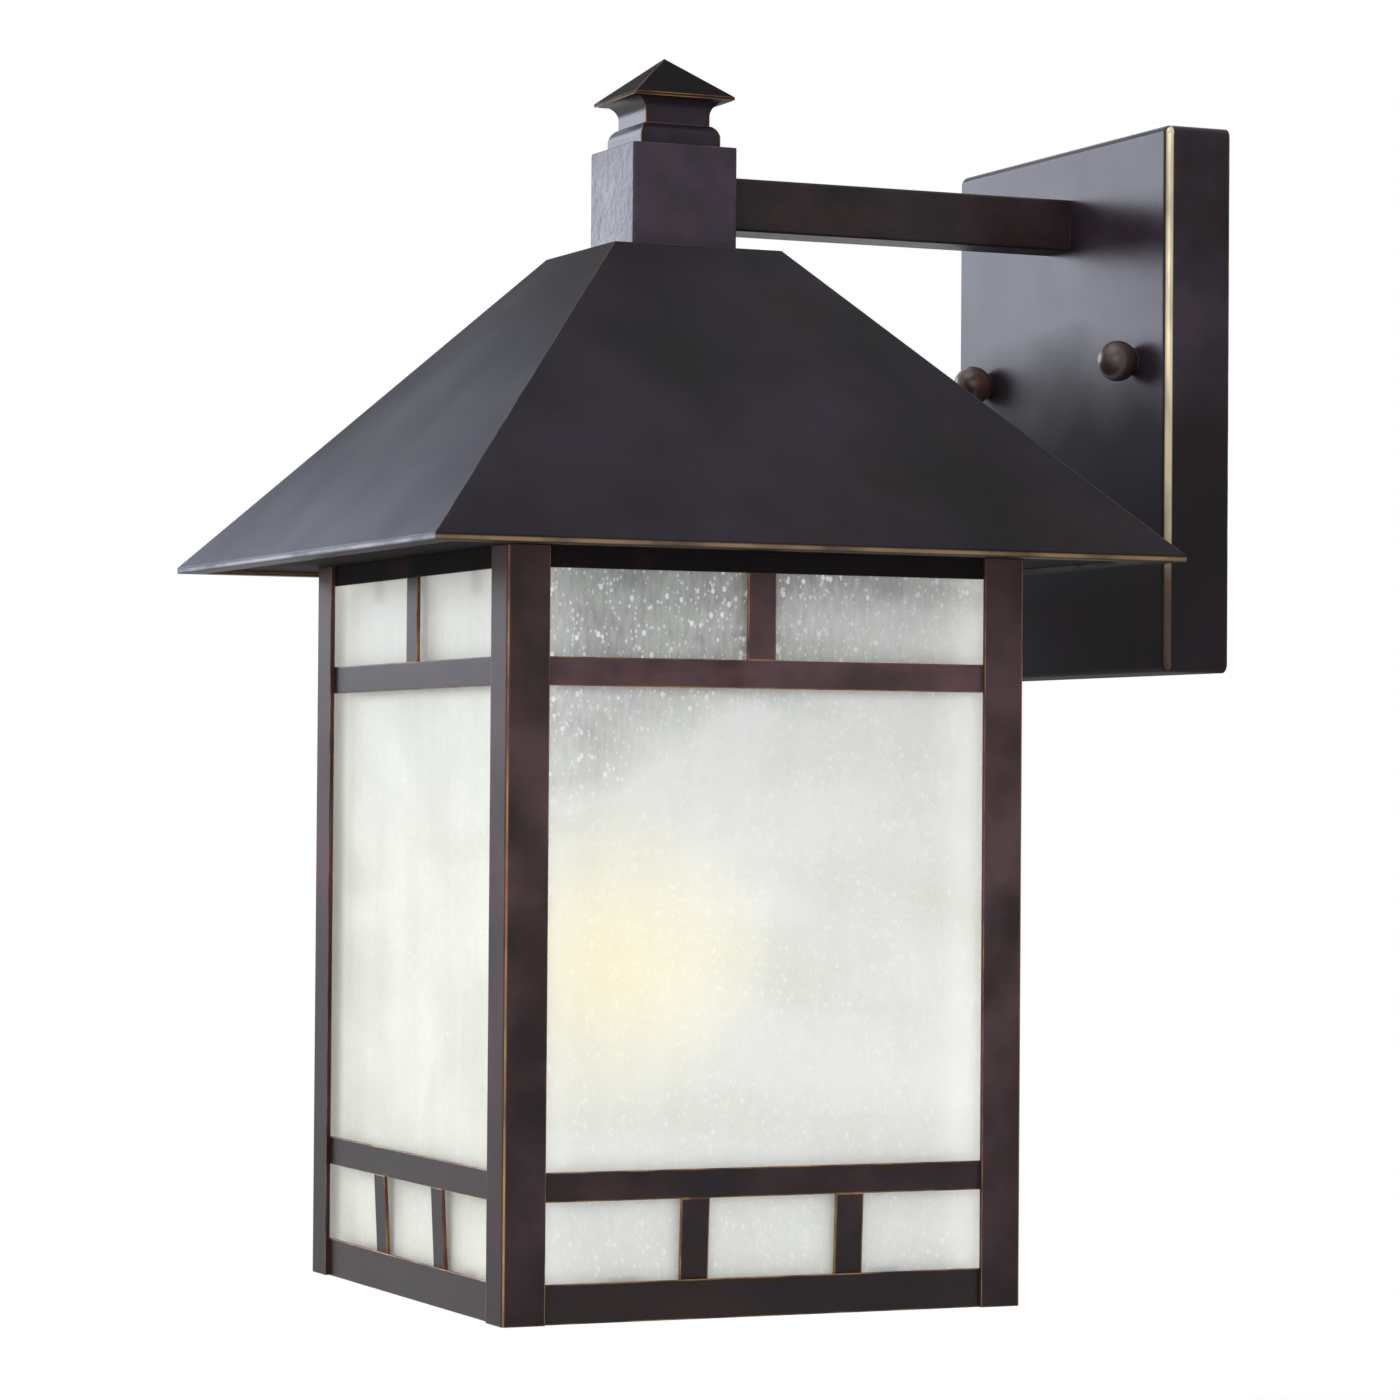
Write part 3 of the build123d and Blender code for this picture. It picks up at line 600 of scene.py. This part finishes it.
finishes = {
    "plate": bronze(
        "plateBronze",
        seed=1.0,
        purple="#332933",
        gold="#d6c9a8",
        copper="#8d7062",
        # worn edge with a painted highlight above the eave, and painted shade below it
        goldWhere=highlightAboveEave,
        marks=plateEdgeMarksAndHighlight,
        mottle=26.0,
        roughness=(0.24, 0.33),
        shine=0.14,
        # painted shade: the plate darker and matt towards its foot, in place of the roof's dark reflection
        fade=fadeTo("#1a1518", 0.8, 0.012, -0.022, 0.45),
    ),
    "roof": bronze(
        "roofBronze",
        seed=4.0,
        dark="#120f12",
        purple="#241f28",
        gold="#a8875f",
        copper="#a9a6a6",
        goldWhere=besideCage,
        marks=eaveMarks,
        wear=0.5,
        wearFrom=-0.056,
        rub=0.12,
        mottle=16.0,
        roughness=(0.42, 0.52),
        shine=0.11,
        # painted shade: the front and back slopes darker towards the top; painted reflection: a blue-grey
        # sheen on their lower part
        fade=fadeTo("#141114", 1.0, -0.06, 0.02, 0.35),
        fadeFacing=1,
        glaze=("#454a5e", 0.62),
    ),
    "neck": bronze(
        "neckBronze",
        seed=6.0,
        dark="#2a2129",
        purple="#3d303f",
        # worn edges in pale lavender: wear, partly a painted highlight
        gold="#b8b4bc",
        copper="#8d8088",
        wear=0.5,
        shine=0.22,
        grain=330.0,
        bump=0.45,
        bumpDepth=0.0007,
    ),
    "arm": bronze("armBronze", seed=8.0, dark="#1f1819", purple="#30272a", shine=0.15),
    "finial": bronze(
        "finialBronze",
        seed=9.0,
        dark="#1c171b",
        purple="#2f2733",
        wearRadius=0.0005,
        wear=1.0,
        broken=(0.28, 0.5),
        roughness=(0.28, 0.34),
        shine=0.14,
        # painted shade: the pyramid above the rim near black and matt
        fade=fadeTo("#080607", 1.0, 0.0700, 0.0712, 0.6),
    ),
    "post": bronze(
        "postBronze",
        seed=11.0,
        dark="#2f2223",
        purple="#4e3a3d",
        gold="#c79a68",
        copper="#b07c58",
        marks=postMarks,
        rub=0.7,
        rubStretch=(1, 1, 0.25),
        shine=0.15,
        # painted shade: the posts darker towards their foot
        fade=fadeTo("#171214", 0.8, -0.12, -0.26),
    ),
    "railFront": bronze(
        "frontRailBronze",
        seed=13.0,
        dark="#20181a",
        purple="#30282c",
        marks=sheetMarks(1),
        rub=0.5,
        rubStretch=(0.2, 1, 1),
    ),
    "railSide": bronze(
        "sideRailBronze",
        seed=13.9,
        dark="#3d2c2e",
        purple="#584043",
        red="#74483f",
        goldShare=0.8,
        marks=sheetMarks(0),
        wearRadius=0.0007,
        rub=0.9,
        rubStretch=(1, 0.2, 1),
        # painted shade: the side rails darker towards their foot
        fade=fadeTo("#150f11", 0.9, -0.09, -0.23),
    ),
    "ball": bronze(
        "ballBronze",
        seed=15.0,
        dark="#2c201d",
        purple="#46342f",
        red="#7d5644",
        wear=0.0,
        rub=0.8,
        roughness=(0.30, 0.38),
        shine=0.5,
    ),
    "hidden": bronze(
        "innerBronze",
        seed=17.0,
        dark="#171415",
        purple="#1f1b1c",
        wear=0.1,
        roughness=(0.7, 0.8),
        shine=0.05,
    ),
    "glassFront": seedyGlass("frontSeedyGlass", paneLooks["front"]),
    "glassSide": seedyGlass("sideSeedyGlass", paneLooks["side"]),
    "lamp": frostedLamp("frostedLamp", lampLook),
    "brass": plainFinish("lampBrass", "#b39a63", "#c9b58a", 0.28, 0.9),
    "porcelain": plainFinish("glazedPorcelain", "#e6e2d8", "#f1eee6", 0.16, 0.0, 30),
    "zinc": plainFinish("zincPlate", "#8f9196", "#a9aaac", 0.34, 0.85, 120),
    "green": plainFinish("earthingGreen", "#1d6b35", "#257a40", 0.35, 0.3),
    "rubber": plainFinish("blackRubber", "#151515", "#1e1d1d", 0.7),
    "tip": plainFinish("lampInsulator", "#16161a", "#222227", 0.2),
}
railParts = ("_upper_transom", "_lower_transom", "_bottom_rail", "_muntins")
wears = {
    "plate": ["backplate"],
    "roof": ["roof_shell"],
    "neck": ["neck_block"],
    "arm": ["arm_tube", "arm_plug"],
    "finial": ["finial"],
    "post": [p + "_post" for p in postNames],
    "railFront": [s + part for s in ("front", "back") for part in railParts],
    "railSide": [s + part for s in ("right", "left") for part in railParts],
    "ball": ["left_ball_nut", "right_ball_nut"],
    "hidden": ["soffit_plate", "top_frame"],
    "glassFront": ["front_glass", "back_glass"],
    "glassSide": ["right_glass", "left_glass"],
    "lamp": ["bulb_glass"],
    "brass": ["bulb_base", "socket_shell", "socket_contact"],
    "porcelain": ["socket_body"],
    "green": ["ground_screw"],
    "rubber": ["left_nut_washer", "right_nut_washer"],
    "tip": ["bulb_tip"],
}
finishOf = {node: finish for finish, names in wears.items() for node in names}
for name, obj in nodes.items():
    obj.data.materials.clear()
    obj.data.materials.append(finishes[finishOf.get(name, "zinc")])
print("finishes on", len(nodes), "nodes")


# Threads and screw heads, in place of the frame's plain rods

pick = {
    "facingUp": 0.9,       # a face whose normal rises more than this looks upwards
    "nearEnd": 0.99,       # share of a length past which a face or an edge is at its end
    "smoothAngle": 40,
}


def editSelected(obj, faces=None, edges=None):
    # Goes into edit mode with just these faces or edges selected.
    bpy.ops.object.select_all(action="DESELECT")
    obj.select_set(True)
    bpy.context.view_layer.objects.active = obj
    bpy.ops.object.mode_set(mode="EDIT")
    bpy.ops.mesh.select_mode(type="FACE" if faces else "EDGE")
    bpy.ops.mesh.select_all(action="DESELECT")
    bpy.ops.object.mode_set(mode="OBJECT")
    places = [v.co for v in obj.data.vertices]
    if faces:
        for face in obj.data.polygons:
            face.select = faces(face)
    else:
        for edge in obj.data.edges:
            edge.select = edges(*(places[i] for i in edge.vertices))
    bpy.ops.object.mode_set(mode="EDIT")


def settled(obj, place=(0, 0, 0), turn=(0, 0, 0)):
    # Leaves the object at the origin, unturned, with its place in its mesh.
    bpy.ops.object.select_all(action="DESELECT")
    obj.select_set(True)
    bpy.context.view_layer.objects.active = obj
    obj.location = place
    obj.rotation_euler = turn
    bpy.ops.object.transform_apply(location=True, rotation=True, scale=True)
    bpy.ops.object.shade_smooth_by_angle(angle=math.radians(pick["smoothAngle"]))
    return obj


windLook = {
    "spareTurns": 3,
    "start": 1.27,         # pitches from the rod's first point to the cut below
    "closing": 0.9,        # an edge that rises more pitches than this closes the outline, and goes
    "merge": 0.001,        # pitches
    "seam": 0.01,          # pitches
}


def woundThread(name, outline, pitch, length, steps):
    # One turn's outline as (radius, share of the pitch), wound up along Z and cut flat at both ends.
    bpy.ops.object.select_all(action="DESELECT")
    bpy.ops.mesh.primitive_circle_add(vertices=len(outline), radius=outline[0][0], fill_type="NOTHING")
    rod = bpy.context.active_object
    rod.name = name
    for vertex, (radius, share) in zip(rod.data.vertices, outline):
        vertex.co = (radius, 0, share * pitch)
    editSelected(rod, edges=lambda a, b: abs(a.z - b.z) > pitch * windLook["closing"])
    bpy.ops.mesh.delete(type="EDGE")
    bpy.ops.object.mode_set(mode="OBJECT")
    wind = rod.modifiers.new("wind", "SCREW")
    wind.axis = "Z"
    wind.screw_offset = pitch
    wind.iterations = math.ceil(length / pitch) + windLook["spareTurns"]
    wind.steps = wind.render_steps = steps
    wind.use_merge_vertices = True
    wind.merge_threshold = pitch * windLook["merge"]
    bpy.ops.object.modifier_apply(modifier="wind")
    start = pitch * windLook["start"]
    bpy.ops.object.mode_set(mode="EDIT")
    bpy.ops.mesh.select_all(action="SELECT")
    bpy.ops.mesh.remove_doubles(threshold=pitch * windLook["seam"])
    for height, above in ((start, False), (start + length, True)):
        bpy.ops.mesh.select_all(action="SELECT")
        bpy.ops.mesh.bisect(
            plane_co=(0, 0, height),
            plane_no=(0, 0, 1),
            use_fill=True,
            clear_inner=not above,
            clear_outer=above,
            threshold=pitch * windLook["merge"],
        )
    bpy.ops.mesh.select_all(action="SELECT")
    bpy.ops.mesh.normals_make_consistent(inside=False)
    bpy.ops.object.mode_set(mode="OBJECT")
    return settled(rod, (0, 0, -start))


def dressed(piece, finish, body, slot, *replaced):
    piece.data.materials.clear()
    piece.data.materials.append(finishes[finish])
    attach(piece, body)
    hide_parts(*replaced)


studLook = {
    "pitch": 0.00079375,      # 32 turns to the inch
    "depth": 0.0003,
    "profile": ((0, 1), (0.1, 1), (0.45, 0), (0.65, 0), (1, 1)),    # share of the pitch, share of the depth
    "steps": 20,
}


def threadedStud(side, look):
    low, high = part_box(f"{side}_stud")
    crest = (high[0] - low[0]) / 2
    outline = [(crest - look["depth"] * down, share) for share, down in look["profile"]]
    stud = woundThread(f"{side}ThreadedStud", outline, look["pitch"], high[1] - low[1], look["steps"])
    wallEnd = ((low[0] + high[0]) / 2, high[1], (low[2] + high[2]) / 2)
    settled(stud, wallEnd, (math.radians(90), 0, 0))
    dressed(stud, "zinc", "lantern", "zinc_steel", f"{side}_stud")


for side in ("left", "right"):
    threadedStud(side, studLook)

capLook = {
    "pitch": 0.0036,
    "depth": 0.0009,
    "points": 9,
    "steps": 48,
    "threaded": 0.0205,                                              # from the glass up
    "shoulder": ((0.0012, 0.97), (0.0020, 0.80), (0.0013, 0.62)),    # rise and narrowing of each stage
}


def lampCap(look):
    low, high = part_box("bulb_base")
    crest = (high[0] - low[0]) / 2
    wave = look["depth"] / 2
    shares = [i / (look["points"] - 1) for i in range(look["points"])]
    outline = [(crest - wave - wave * math.cos(2 * math.pi * share), share) for share in shares]
    cap = woundThread("lampScrewCap", outline, look["pitch"], look["threaded"], look["steps"])
    top = look["threaded"] * pick["nearEnd"]
    editSelected(cap, faces=lambda face: face.normal.z > pick["facingUp"] and face.center.z > top)
    for rise, share in look["shoulder"]:
        bpy.ops.mesh.extrude_region_move(TRANSFORM_OT_translate={"value": (0, 0, rise)})
        bpy.ops.transform.resize(value=(share, share, 1), center_override=(0, 0, 0))
    bpy.ops.object.mode_set(mode="OBJECT")
    settled(cap, ((low[0] + high[0]) / 2, (low[1] + high[1]) / 2, low[2]))
    dressed(cap, "brass", "bulb", "lamp_brass", "bulb_base")


lampCap(capLook)

screwLook = {
    "head": 0.0058,
    "sides": 40,
    "headHeight": 0.002,
    "crown": 0.0008,
    "crownSteps": 4,
    "shank": 0.0032,
    "recess": (0.0034, 0.0008, 0.0012),     # span, width and depth of the cross
    "cornerOut": 0.062,                     # from the lantern's axis to the corner screws, both ways
    "strapOut": 0.0613,                     # from the lantern's axis to the strap's screws
    "strapSheet": 0.0016,                   # the strap's screws stand lower by its sheet
}


def panHeadScrew(look, length):
    # A screw that points up from its seat at the origin, with its crowned head below.
    height = look["headHeight"]
    bpy.ops.object.select_all(action="DESELECT")
    middle = (0, 0, -height / 2)
    bpy.ops.mesh.primitive_cylinder_add(
        vertices=look["sides"], radius=look["head"] / 2, depth=height, location=middle
    )
    screw = settled(bpy.context.active_object, middle)
    editSelected(screw, edges=lambda a, b: max(a.z, b.z) < -height * pick["nearEnd"])
    bpy.ops.mesh.bevel(offset=look["crown"], segments=look["crownSteps"])
    bpy.ops.object.mode_set(mode="OBJECT")
    editSelected(screw, faces=lambda face: face.normal.z > pick["facingUp"])
    bpy.ops.mesh.inset(thickness=(look["head"] - look["shank"]) / 2)
    bpy.ops.mesh.extrude_region_move(TRANSFORM_OT_translate={"value": (0, 0, length)})
    bpy.ops.object.mode_set(mode="OBJECT")
    span, width, depth = look["recess"]
    for size in ((span, width), (width, span)):
        bpy.ops.mesh.primitive_cube_add(size=1, location=(0, 0, -height), scale=(*size, depth * 2))
        cutter = bpy.context.active_object
        cut = screw.modifiers.new("cross", "BOOLEAN")
        cut.operation = "DIFFERENCE"
        cut.object = cutter
        bpy.context.view_layer.objects.active = screw
        bpy.ops.object.modifier_apply(modifier="cross")
        bpy.data.objects.remove(cutter)
    return screw


def frameScrews(look):
    low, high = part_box("frame_screws")
    strapSeat = low[2] + look["headHeight"]
    flangeSeat = strapSeat + look["strapSheet"]
    out = look["cornerOut"]
    corners = [(x * out, cage["axisY"] + y * out, flangeSeat) for x in (-1, 1) for y in (-1, 1)]
    ends = [(x * look["strapOut"], cage["axisY"], strapSeat) for x in (-1, 1)]
    first = panHeadScrew(look, high[2] - flangeSeat)
    first.name = "frameScrewSet"
    copies = []
    for place in corners + ends:
        screw = first.copy()
        screw.data = first.data.copy()
        scene.collection.objects.link(screw)
        screw.location = place
        copies.append(screw)
    bpy.data.objects.remove(first)
    bpy.ops.object.select_all(action="DESELECT")
    for screw in copies:
        screw.select_set(True)
    bpy.context.view_layer.objects.active = copies[0]
    bpy.ops.object.join()
    screwSet = settled(copies[0], copies[0].location)
    screwSet.name = "frameScrewSet"
    dressed(screwSet, "zinc", "lantern", "zinc_steel", "frame_screws")


frameScrews(screwLook)
print("threads and screw heads in place")


# Stage: floor, light and camera

stageLook = {
    "floorHeight": -1.2,
    "floorSize": 12.0,
    "floorWhite": 0.93,      # share of plain white in the floor that the camera sees
    "floorTones": ("#dededc", "#e6e6e4"),
    "floorPatches": 2.0,     # to a metre
    "floorSpan": (0.35, 0.65),
    "roomStrength": 1.0,
    "roomTint": (0.93, 0.96, 1.0, 1),
}


def rayKinds(tree, kinds):
    # One for the kinds of ray that see the plain white background.
    paths = tree.nodes.new("ShaderNodeLightPath")
    found = paths.outputs[kinds[0]]
    for kind in kinds[1:]:
        either = tree.nodes.new("ShaderNodeMath")
        either.operation = "MAXIMUM"
        tree.links.new(found, either.inputs[0])
        tree.links.new(paths.outputs[kind], either.inputs[1])
        found = either.outputs[0]
    return found


seeingRays = ("Is Camera Ray", "Is Glossy Ray", "Is Transmission Ray")
world = bpy.data.worlds.new("paleStudio")
scene.world = world
world.use_nodes = True
sky = world.node_tree
sky.nodes.clear()
room = sky.nodes.new("ShaderNodeBackground")
room.inputs["Color"].default_value = stageLook["roomTint"]
room.inputs["Strength"].default_value = stageLook["roomStrength"]
white = sky.nodes.new("ShaderNodeBackground")
white.inputs["Color"].default_value = (1, 1, 1, 1)
white.inputs["Strength"].default_value = 1.0
blend = sky.nodes.new("ShaderNodeMixShader")
sky.links.new(rayKinds(sky, seeingRays), blend.inputs[0])
sky.links.new(room.outputs[0], blend.inputs[1])
sky.links.new(white.outputs[0], blend.inputs[2])
skyOut = sky.nodes.new("ShaderNodeOutputWorld")
sky.links.new(blend.outputs[0], skyOut.inputs[0])


def floorPaint():
    t = NodeTree("paleFloorPaint")
    first, second = (colour(tone) for tone in stageLook["floorTones"])
    patches = t.noise(stageLook["floorPatches"], detail=4)
    shade = t.mix(t.ramp(patches, *stageLook["floorSpan"]), first, second)
    paint = t.add("BsdfDiffuse", Color=shade)
    plain = t.add("Emission", Color=(1, 1, 1, 1), Strength=1.0)
    share = t.scaled(rayKinds(t.tree, seeingRays), stageLook["floorWhite"])
    both = t.add("MixShader", Fac=share)
    t.feed(both.inputs[1], paint.outputs[0])
    t.feed(both.inputs[2], plain.outputs[0])
    return t.finish(both.outputs[0])


bpy.ops.object.select_all(action="DESELECT")
bpy.ops.mesh.primitive_plane_add(size=stageLook["floorSize"], location=(0, 0, stageLook["floorHeight"]))
floor = bpy.context.active_object
floor.name = "paleFloor"
floor.data.materials.append(floorPaint())


def softLamp(name, place, target, size, power, tint):
    light = bpy.data.lights.new(name, "AREA")
    light.shape = "RECTANGLE"
    light.size, light.size_y = size
    light.energy = power
    light.color = tint
    obj = bpy.data.objects.new(name, light)
    scene.collection.objects.link(obj)
    obj.location = place
    obj.rotation_euler = (Vector(target) - Vector(place)).to_track_quat("-Z", "Y").to_euler()


lantern = (0, cage["axisY"], -0.08)
lamps = {    # place, size, watts and tint of each
    "leftBank": ((-1.45, -0.80, 0.34), (0.8, 0.6), 10, (0.78, 0.84, 1.0)),
    "topBank": ((0.2, -0.9, 1.5), (1.2, 1.2), 8, (1, 1, 1)),
    "cameraFill": ((1.5, -1.2, 0.3), (1.0, 1.0), 5, (1, 1, 1)),
}
for name, (place, size, power, tint) in lamps.items():
    softLamp(name, place, lantern, size, power, tint)

cameraFit = {
    "focal": 4609.65,      # in pixels of the square picture
    "picture": 1400.0,
    "yaw": 66.211,
    "pitch": 1.084,
    "roll": 0.416,
    "across": 0.011159,    # how far the camera stands off the axis to its own right
    "above": -0.034052,
    "distance": 1.286471,
    "centre": (700.405, 706.066),
    "aim": (0.0, -0.145, -0.064),
    "sensor": 36.0,
    "clip": (0.05, 50),
}


def fittedCamera(fit):
    yaw, pitch, roll = (math.radians(fit[k]) for k in ("yaw", "pitch", "roll"))
    ahead = Vector((-math.sin(yaw) * math.cos(pitch), math.cos(yaw) * math.cos(pitch), math.sin(pitch)))
    level = Vector((math.cos(yaw), math.sin(yaw), 0))
    upright = level.cross(ahead)
    right = math.cos(roll) * level + math.sin(roll) * upright
    up = math.cos(roll) * upright - math.sin(roll) * level
    data = bpy.data.cameras.new("photoCamera")
    data.sensor_width = fit["sensor"]
    data.lens = fit["focal"] * fit["sensor"] / fit["picture"]
    data.shift_x = (fit["picture"] / 2 - fit["centre"][0]) / fit["picture"]
    data.shift_y = (fit["centre"][1] - fit["picture"] / 2) / fit["picture"]
    data.clip_start, data.clip_end = fit["clip"]
    obj = bpy.data.objects.new("photoCamera", data)
    scene.collection.objects.link(obj)
    obj.matrix_world = Matrix.Translation(
        Vector(fit["aim"]) - ahead * fit["distance"] + right * fit["across"] + up * fit["above"]
    ) @ Matrix((right, up, -ahead)).transposed().to_4x4()
    return obj


scene.camera = fittedCamera(cameraFit)
scene.view_settings.view_transform = "Standard"
print("stage, lamps and camera set")
